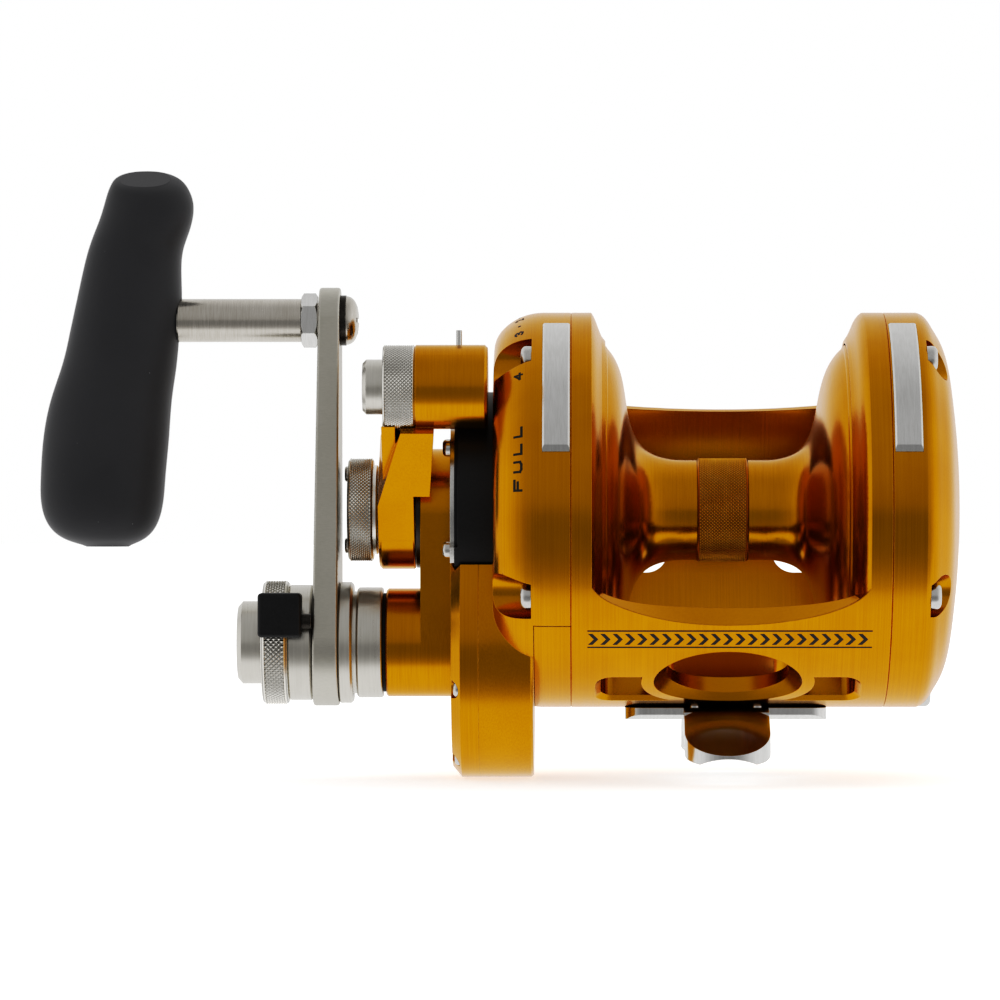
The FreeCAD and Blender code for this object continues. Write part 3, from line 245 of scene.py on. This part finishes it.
M["dark"] = metal("blackened_steel", (0.05, 0.045, 0.04), (0.11, 0.10, 0.09), 0.30, wear=0.3, bump=0.04)
M["gear"] = metal("ground_gear_steel", (0.40, 0.39, 0.37), (0.52, 0.51, 0.49), 0.26, axis=(0, AX), wear=0.4, bump=0.08)
M["bearing"] = metal("bearing_steel", (0.60, 0.60, 0.61), (0.70, 0.70, 0.71), 0.12, axis=(0, AX), wear=0.1, bump=0.02)


def rubber(name, col, rough=0.52):
    g = Graph(name)
    tc = g.n("ShaderNodeTexCoord")
    o = tc.outputs["Object"]
    big = g.noise(o, 55.0, 3.0, 0.5)
    fine = g.noise(o, 2600.0, 2.0, 0.6)
    speck = g.ramp(g.noise(o, 1500.0, 1.0, 0.4), 0.80, 0.84)
    c = g.mix(big, tuple(v * 0.8 for v in col), tuple(v * 1.25 for v in col))
    c = g.mix(speck, c, (0.16, 0.16, 0.16))
    g.l(c, g.b.inputs["Base Color"])
    r = g.math("ADD", g.math("MULTIPLY", g.math("SUBTRACT", big, 0.5), 0.12), rough)
    g.l(r, g.b.inputs["Roughness"])
    g.b.inputs["Specular IOR Level"].default_value = 0.42
    g.b.inputs["Sheen Weight"].default_value = 0.12
    g.b.inputs["Sheen Roughness"].default_value = 0.45
    bp = g.n("ShaderNodeBump")
    bp.inputs["Strength"].default_value = 0.10
    bp.inputs["Distance"].default_value = 0.00003
    g.l(fine, bp.inputs["Height"])
    g.l(bp.outputs[0], g.b.inputs["Normal"])
    return g.m


M["rubber"] = rubber("soft_touch_rubber", (0.044, 0.044, 0.047))
M["seal"] = rubber("seal_rubber", (0.012, 0.012, 0.012), 0.6)


def carbon(name):
    g = Graph(name)
    tc = g.n("ShaderNodeTexCoord")
    mp = g.n("ShaderNodeMapping")
    mp.inputs["Scale"].default_value = (1.0, 700.0, 700.0)
    g.l(tc.outputs["Object"], mp.inputs["Vector"])
    ck = g.n("ShaderNodeTexChecker")
    ck.inputs["Scale"].default_value = 1.0
    g.l(mp.outputs[0], ck.inputs["Vector"])
    nz = g.noise(tc.outputs["Object"], 3000.0)
    c = g.mix(ck.outputs["Fac"], (0.012, 0.012, 0.013), (0.045, 0.045, 0.048))
    g.l(c, g.b.inputs["Base Color"])
    g.l(g.math("ADD", g.math("MULTIPLY", nz, 0.2), 0.35), g.b.inputs["Roughness"])
    return g.m


M["carbon"] = carbon("carbon_weave")


def ink(name):
    g = Graph(name)
    tc = g.n("ShaderNodeTexCoord")
    nz = g.noise(tc.outputs["Object"], 1600.0, 3.0)
    c = g.mix(nz, (0.010, 0.008, 0.006), (0.030, 0.022, 0.014))
    g.l(c, g.b.inputs["Base Color"])
    g.l(g.math("ADD", g.math("MULTIPLY", nz, 0.25), 0.40), g.b.inputs["Roughness"])
    return g.m


M["ink"] = ink("filled_engraving")


def paint(key, names):
    for n in names.split():
        o = N[n]
        o.data.materials.clear()
        o.data.materials.append(M[key])


paint("gold", "frame gear_side_plate lower_rim_segment palm_side_plate spool arbor_band")
paint("gold_crank", "gear_cover")
paint("gold_lever", "drag_lever")
paint("silver", "crank_outer_collar crank_inner_collar crank_bushing crank_ring shift_button")
paint("silver_arm", "crank_arm")
paint("silver_knob", "lever_knob_ring lever_push_button")
paint("silver_knurl", "preset_knob")
paint("steel", "rim_inlays harness_eyes reel_foot grip_nut")
paint("steel_spindle", "grip_spindle grip_end_screw")
paint("screw", "gear_plate_screws palm_plate_screws foot_screws gear_cover_screws quadrant_screws preset_knob_screws lever_knob_pin quadrant_plate pawl_pins")
paint("black", "drag_quadrant shift_latch click_slider")
paint("dark", "latch_guide_rod grip_end_washer lever_washer")
paint("rubber", "grip")
paint("seal", "crank_seal")
paint("gear", "high_gear low_gear high_pinion low_pinion drive_sleeve ratchet_wheel crank_shaft shift_rod shift_key front_pawl rear_pawl click_wheel click_tongue spool_spindle shift_spring drag_plate")
paint("bearing", "drive_bearing crank_bearings spool_bearings")
paint("carbon", "drag_washer")


# ------------------------------------------------------------------ mesh helpers
def add_mesh(name, verts, faces, mat, smooth_angle=None):
    me = bpy.data.meshes.new(name)
    me.from_pydata([tuple(v) for v in verts], [], faces)
    me.validate()
    o = bpy.data.objects.new(name, me)
    coll.objects.link(o)
    me.materials.append(mat)
    bm = bmesh.new()
    bm.from_mesh(me)
    bmesh.ops.remove_doubles(bm, verts=bm.verts, dist=1e-7)
    bmesh.ops.recalc_face_normals(bm, faces=bm.faces)
    if smooth_angle is not None:
        for f in bm.faces:
            f.smooth = True
        for e in bm.edges:
            if len(e.link_faces) == 2 and e.calc_face_angle(0.0) > math.radians(smooth_angle):
                e.smooth = False
    bm.to_mesh(me)
    bm.free()
    return o


def lathe(name, prof, cy, cz, mat, seg=192, knurl=None, smooth=32.0, closed=True):
    """Turned piece about X through (cy, cz), from a closed profile of (x, r) in mm.
    knurl = (i, pitch_x, count, depth): the stretch from profile point i to i+1 carries diamond knurling."""
    rows = []
    kn = []
    for i, (x, r) in enumerate(prof):
        rows.append((x, r))
        kn.append(0.0)
        if knurl and i == knurl[0]:
            x1, r1 = prof[i + 1]
            per = knurl[1]
            n = max(8, int(round(abs(x1 - x) / per * 6)))
            for j in range(1, n):
                t = j / n
                rows.append((x + (x1 - x) * t, r + (r1 - r) * t))
                kn.append(1.0)
    if knurl:
        seg = knurl[2] * 6
    verts, faces = [], []
    for (x, r), k in zip(rows, kn):
        for s in range(seg):
            a = 2 * math.pi * s / seg
            rr = r
            if k:
                u = knurl[2] * a / (2 * math.pi)
                v = x / knurl[1]
                t1 = abs(((u + v) % 1.0) - 0.5) * 2.0
                t2 = abs(((u - v) % 1.0) - 0.5) * 2.0
                rr = r - knurl[3] * (1.0 - min(t1, t2)) ** 0.9
            verts.append((x * MM, cy + rr * MM * math.cos(a), cz + rr * MM * math.sin(a)))
    R = len(rows)
    for i in range(R if closed else R - 1):
        j = (i + 1) % R
        for s in range(seg):
            t = (s + 1) % seg
            faces.append((i * seg + s, i * seg + t, j * seg + t, j * seg + s))
    o = add_mesh(name, verts, faces, mat, None)
    me = o.data
    bm = bmesh.new()
    bm.from_mesh(me)
    for f in bm.faces:
        f.smooth = True
    for e in bm.edges:
        if len(e.link_faces) == 2 and e.calc_face_angle(0.0) > math.radians(smooth):
            e.smooth = False
    bm.to_mesh(me)
    bm.free()
    return o


# ------------------------------------------------------------------ knurled rings
cr = lathe("crank_ring_knurled", [(-97.2, 13.2), (-97.9, 13.83), (-102.3, 13.83), (-103.0, 13.15), (-103.0, 10.5), (-102.4, 9.6),
                                  (-98.2, 9.6), (-98.2, 6.0), (-97.2, 6.0)], 0, HX, M["silver_ring"], knurl=(1, 1.15, 76, 0.44))
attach(cr, "crank")
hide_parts("crank_ring")
lk = lathe("lever_knob_ring_knurled", [(-68.5, 8.9), (-68.8, 9.18), (-75.05, 9.18), (-75.4, 8.85), (-75.4, 6.5), (-75.1, 6.16), (-68.5, 6.16)],
           LKY, LKZ, M["silver_lknurl"], knurl=(1, 0.83, 70, 0.36))
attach(lk, "lever")
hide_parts("lever_knob_ring")
pk = lathe("preset_knob_knurled", [(-77.4, 9.7), (-77.7, 9.98), (-78.4, 9.98), (-78.45, 11.0), (-78.8, 11.48), (-83.5, 11.48), (-84.0, 10.9),
                                   (-84.0, 9.9), (-83.5, 9.5), (-83.35, 6.2), (-83.8, 5.7), (-84.0, 5.4), (-84.0, 4.0), (-83.6, 3.54), (-77.4, 3.54)],
           0, AX, M["silver_knurl"], knurl=(4, 0.85, 84, 0.38))
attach(pk, "preset")
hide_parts("preset_knob")
ab = lathe("arbor_band_knurled", [(-6.4, 11.2), (-6.0, 11.62), (4.6, 11.62), (5.0, 11.2), (5.0, 10.62), (-6.4, 10.62)], 0, AX, M["gold_knurl"],
           knurl=(1, 0.76, 96, 0.36))
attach(ab, "spool")
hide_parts("arbor_band")


# ------------------------------------------------------------------ marks filled into the turned surfaces
GLYPH = {
    "F": [((0, 0), (0, 1)), ((0, 1), (0.62, 1)), ((0, 0.52), (0.50, 0.52))],
    "U": [((0, 1), (0, 0.18)), ((0, 0.18), (0.16, 0)), ((0.16, 0), (0.46, 0)), ((0.46, 0), (0.62, 0.18)), ((0.62, 0.18), (0.62, 1))],
    "L": [((0, 1), (0, 0)), ((0, 0), (0.58, 0))],
    "1": [((0.1, 0.78), (0.32, 1)), ((0.32, 1), (0.32, 0)), ((0.1, 0), (0.54, 0))],
    "2": [((0.04, 0.82), (0.2, 1)), ((0.2, 1), (0.44, 1)), ((0.44, 1), (0.58, 0.82)), ((0.58, 0.82), (0.54, 0.58)), ((0.54, 0.58), (0.04, 0)), ((0.04, 0), (0.6, 0))],
    "3": [((0.04, 0.88), (0.2, 1)), ((0.2, 1), (0.44, 1)), ((0.44, 1), (0.56, 0.78)), ((0.56, 0.78), (0.40, 0.54)), ((0.22, 0.54), (0.40, 0.54)),
          ((0.40, 0.54), (0.58, 0.28)), ((0.58, 0.28), (0.44, 0)), ((0.44, 0), (0.2, 0)), ((0.2, 0), (0.04, 0.12))],
    "4": [((0.46, 0), (0.46, 1)), ((0.46, 1), (0.02, 0.32)), ((0.02, 0.32), (0.64, 0.32))],
    "5": [((0.56, 1), (0.1, 1)), ((0.1, 1), (0.06, 0.56)), ((0.06, 0.56), (0.40, 0.60)), ((0.40, 0.60), (0.58, 0.32)), ((0.58, 0.32), (0.42, 0)), ((0.42, 0), (0.04, 0.06))],
    "0": [((0.16, 0), (0.46, 0)), ((0.46, 0), (0.62, 0.25)), ((0.62, 0.25), (0.62, 0.75)), ((0.62, 0.75), (0.46, 1)), ((0.46, 1), (0.16, 1)),
          ((0.16, 1), (0, 0.75)), ((0, 0.75), (0, 0.25)), ((0, 0.25), (0.16, 0))],
}


class Marks:
    """Thin filled marks laid on a turned surface. radius(x) is the surface, u runs up the front (mm of arc), v along X."""

    def __init__(self, radius, thick=0.03):
        self.v, self.f, self.radius, self.thick = [], [], radius, thick

    def poly(self, pts, ref):
        """pts: outline in (elevation offset mm, x mm); laid on the surface at radius(x, angle)."""
        k = len(self.v)
        for lift in (self.thick, -0.12):
            for u, x in pts:
                a = u / ref
                r = self.radius(x, a) + lift
                self.v.append((x * MM, -r * MM * math.cos(a), AX + r * MM * math.sin(a)))
        n = len(pts)
        self.f.append(tuple(range(k, k + n)))
        self.f.append(tuple(reversed(range(k + n, k + 2 * n))))
        for i in range(n):
            j = (i + 1) % n
            self.f.append((k + i, k + n + i, k + n + j, k + j))

    def stroke(self, p, q, w, ref, ends=0.5):
        (u0, x0), (u1, x1) = p, q
        L = math.hypot(u1 - u0, x1 - x0) or 1e-6
        du, dx = (u1 - u0) / L, (x1 - x0) / L
        e = w * ends
        u0, x0, u1, x1 = u0 - du * e, x0 - dx * e, u1 + du * e, x1 + dx * e
        n = max(1, int(L / 0.45))
        for i in range(n):
            a, b = i / n, (i + 1) / n
            self.poly([(u0 + (u1 - u0) * t + s * dx * w / 2, x0 + (x1 - x0) * t - s * du * w / 2) for t, s in ((a, -1), (b, -1), (b, 1), (a, 1))], ref)

    def glyph(self, ch, u, x, h, w, ref, wide=1.0):
        """Glyph whose reading direction climbs the front and whose top points to -X."""
        for (a0, b0), (a1, b1) in GLYPH[ch]:
            self.stroke((u + a0 * h * wide, x - b0 * h), (u + a1 * h * wide, x - b1 * h), w, ref)

    def dot(self, u, x, r, ref):
        self.poly([(u + r * math.cos(t), x + r * math.sin(t)) for t in (2 * math.pi * i / 14 for i in range(14))], ref)

    def make(self, name, mat):
        return add_mesh(name, self.v, self.f, mat)


def turned_surface(node, fallback):
    """radius(x mm, angle) of a CAD node's outer skin, measured by casting towards the spool axis."""
    o = N[node]
    o.data.calc_loop_triangles()
    mw = o.matrix_world
    tree = BVHTree.FromPolygons([mw @ v.co for v in o.data.vertices], [tuple(t.vertices) for t in o.data.loop_triangles])

    def radius(x, a):
        d = Vector((0.0, -math.cos(a), math.sin(a)))
        c = Vector((x * MM, 0.0, AX))
        hit = tree.ray_cast(c + d * 0.075, -d, 0.06)
        if hit[0] is None:
            return fallback
        return (hit[0] - c).length / MM

    return radius


dial = Marks(turned_surface("gear_side_plate", 43.0), thick=0.035)
REF = 43.2
S = 0.2234


def arc_u(py):
    """Arc length up the front that shows at that height of the front view."""
    return REF * math.asin(max(-0.999, min(0.999, (510.0 - py) * S / REF)))


XM = -45.05
for ch, py in (("F", 491.0), ("U", 473.0), ("L", 455.6), ("L", 438.6)):
    dial.glyph(ch, arc_u(py), XM, 1.48, 0.50, REF, wide=2.4)
dial.glyph("4", arc_u(382.2), XM, 1.50, 0.46, REF, wide=1.9)
dial.dot(arc_u(360.5), XM - 0.74, 0.36, REF)
dial.glyph("3", arc_u(337.0), XM, 1.50, 0.44, REF, wide=1.9)
u = arc_u(337.0)
for k, ch in enumerate("210"):
    dial.dot(u + 5.6 + 11.2 * k, XM - 0.74, 0.36, REF)
    dial.glyph(ch, u + 10.6 + 11.2 * k, XM, 1.50, 0.44, REF, wide=1.9)
dial_o = dial.make("drag_dial_marks", M["ink"])
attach(dial_o, "root")

# a row of plain wave marks along the front of the frame's lower shell
band = Marks(lambda x, a: 44.0, thick=0.03)
R0 = 44.0
uc = -R0 * math.radians(39.6)
n = 23
for i in range(n):
    x = -30.4 + (61.2) * (i + 0.5) / n
    h, w = 1.55, 0.95
    for s in (-1, 1):
        band.poly([(uc, x + 0.62 * 1), (uc + s * h, x - 0.62), (uc + s * h, x - 0.62 - w), (uc, x + 0.62 - w)], R0)
for s in (-1, 1):
    band.poly([(uc + s * 2.35 + a, x) for a, x in ((-0.16, -30.8), (0.16, -30.8), (0.16, 31.0), (-0.16, 31.0))], R0)
band_o = band.make("front_band_marks", M["ink"])
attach(band_o, "root")


# ------------------------------------------------------------------ stage, light and camera
def studio_world():
    w = bpy.data.worlds.new("soft_studio")
    scene.world = w
    w.use_nodes = True
    t = w.node_tree
    t.nodes.clear()
    out = t.nodes.new("ShaderNodeOutputWorld")
    tc = t.nodes.new("ShaderNodeTexCoord")
    sp = t.nodes.new("ShaderNodeSeparateXYZ")
    t.links.new(tc.outputs["Generated"], sp.inputs[0])

    def mth(op, a, b=None, clamp=False):
        nd = t.nodes.new("ShaderNodeMath")
        nd.operation = op
        nd.use_clamp = clamp
        for i, v in enumerate((a, b)):
            if v is None:
                continue
            if isinstance(v, (int, float)):
                nd.inputs[i].default_value = v
            else:
                t.links.new(v, nd.inputs[i])
        return nd.outputs[0]

    # angle round the X axis, 0 at the front (-Y), 0.25 overhead, 0.5 behind, 0.75 below
    el = mth("ARCTAN2", sp.outputs[2], mth("MULTIPLY", sp.outputs[1], -1.0))
    fr = mth("FRACT", mth("ADD", mth("DIVIDE", el, 2 * math.pi), 1.0))
    rp = t.nodes.new("ShaderNodeValToRGB")
    rp.color_ramp.interpolation = "B_SPLINE"
    el_stops = STOPS
    cr_ = rp.color_ramp
    while len(cr_.elements) > 1:
        cr_.elements.remove(cr_.elements[-1])
    first = True
    for deg, v in el_stops:
        pos = (deg % 360) / 360.0
        if first:
            e = cr_.elements[0]
            e.position = pos
            first = False
        else:
            e = cr_.elements.new(pos)
        e.color = (v, v, v, 1.0)
    t.links.new(fr, rp.inputs[0])
    # the ends of the room, towards +X and -X
    side = mth("POWER", mth("ABSOLUTE", sp.outputs[0]), 3.0)
    mx = t.nodes.new("ShaderNodeMix")
    mx.data_type = "RGBA"
    t.links.new(side, mx.inputs[0])
    t.links.new(rp.outputs[0], mx.inputs[6])
    mx.inputs[7].default_value = (SIDE, SIDE, SIDE, 1.0)
    bg = t.nodes.new("ShaderNodeBackground")
    t.links.new(mx.outputs[2], bg.inputs[0])
    bg.inputs[1].default_value = WORLD_GAIN
    bg2 = t.nodes.new("ShaderNodeBackground")
    bg2.inputs[0].default_value = (1.0, 1.0, 1.0, 1.0)
    bg2.inputs[1].default_value = 1.0
    lp = t.nodes.new("ShaderNodeLightPath")
    ms = t.nodes.new("ShaderNodeMixShader")
    t.links.new(lp.outputs["Is Camera Ray"], ms.inputs[0])
    t.links.new(bg.outputs[0], ms.inputs[1])
    t.links.new(bg2.outputs[0], ms.inputs[2])
    t.links.new(ms.outputs[0], out.inputs[0])


# brightness of the room by angle, 0 = front, 90 = overhead, 180 = behind, 270 = underneath
STOPS = [(0, 0.43), (12, 0.45), (30, 0.49), (65, 0.48), (85, 0.54), (110, 0.72), (135, 0.78), (180, 0.90), (225, 1.20), (250, 1.35), (285, 1.62), (300, 1.50),
         (309, 0.92), (316, 0.50), (330, 0.33), (345, 0.30)]
SIDE = 0.95
WORLD_GAIN = 1.0
studio_world()

floor_g = Graph("pale_floor")
floor_g.b.inputs["Base Color"].default_value = (0.80, 0.80, 0.80, 1.0)
floor_g.b.inputs["Roughness"].default_value = 0.9
floor_g.b.inputs["Specular IOR Level"].default_value = 0.0
floor_g.b.inputs["Emission Color"].default_value = (1.0, 1.0, 1.0, 1.0)
floor_g.b.inputs["Emission Strength"].default_value = 0.62
lo, hi = CAD_BOX
floor_me = bpy.data.meshes.new("studio_floor")
fz = lo[2] - 0.0002
floor_me.from_pydata([(-6, -6, fz), (6, -6, fz), (6, 6, fz), (-6, 6, fz)], [], [(0, 1, 2, 3)])
floor = bpy.data.objects.new("studio_floor", floor_me)
coll.objects.link(floor)
floor_me.materials.append(floor_g.m)
floor.visible_glossy = False


def area(name, loc, target, size, power, size_y=None):
    ld = bpy.data.lights.new(name, "AREA")
    ld.shape = "RECTANGLE"
    ld.size = size
    ld.size_y = size_y or size
    ld.energy = power
    o = bpy.data.objects.new(name, ld)
    coll.objects.link(o)
    o.location = loc
    o.rotation_euler = (Vector(target) - Vector(loc)).to_track_quat("-Z", "Y").to_euler()
    return o


soft = area("overhead_softbox", (0.0, 0.15, 1.5), (0, 0, 0.04), 1.6, 1.5, 1.2)
soft.visible_glossy = False

cam_d = bpy.data.cameras.new("camera")
cam = bpy.data.objects.new("camera", cam_d)
coll.objects.link(cam)
cam.location = (-0.0324, -1.150, 0.0487)
cam.rotation_euler = (math.radians(90), 0, 0)
cam_d.sensor_width = 36.0
cam_d.lens = 185.3
cam_d.shift_x = -0.08
cam_d.clip_start = 0.05
cam_d.clip_end = 30.0
scene.camera = cam
scene.view_settings.view_transform = "Standard"
scene.view_settings.look = "None"
scene.view_settings.use_curve_mapping = True
cm = scene.view_settings.curve_mapping
cm.use_clip = False
cv = cm.curves[3]
for px, py in ((0.05, 0.016), (0.15, 0.085), (0.3, 0.265), (0.45, 0.44), (0.75, 0.72)):
    cv.points.new(px, py)
cm.update()
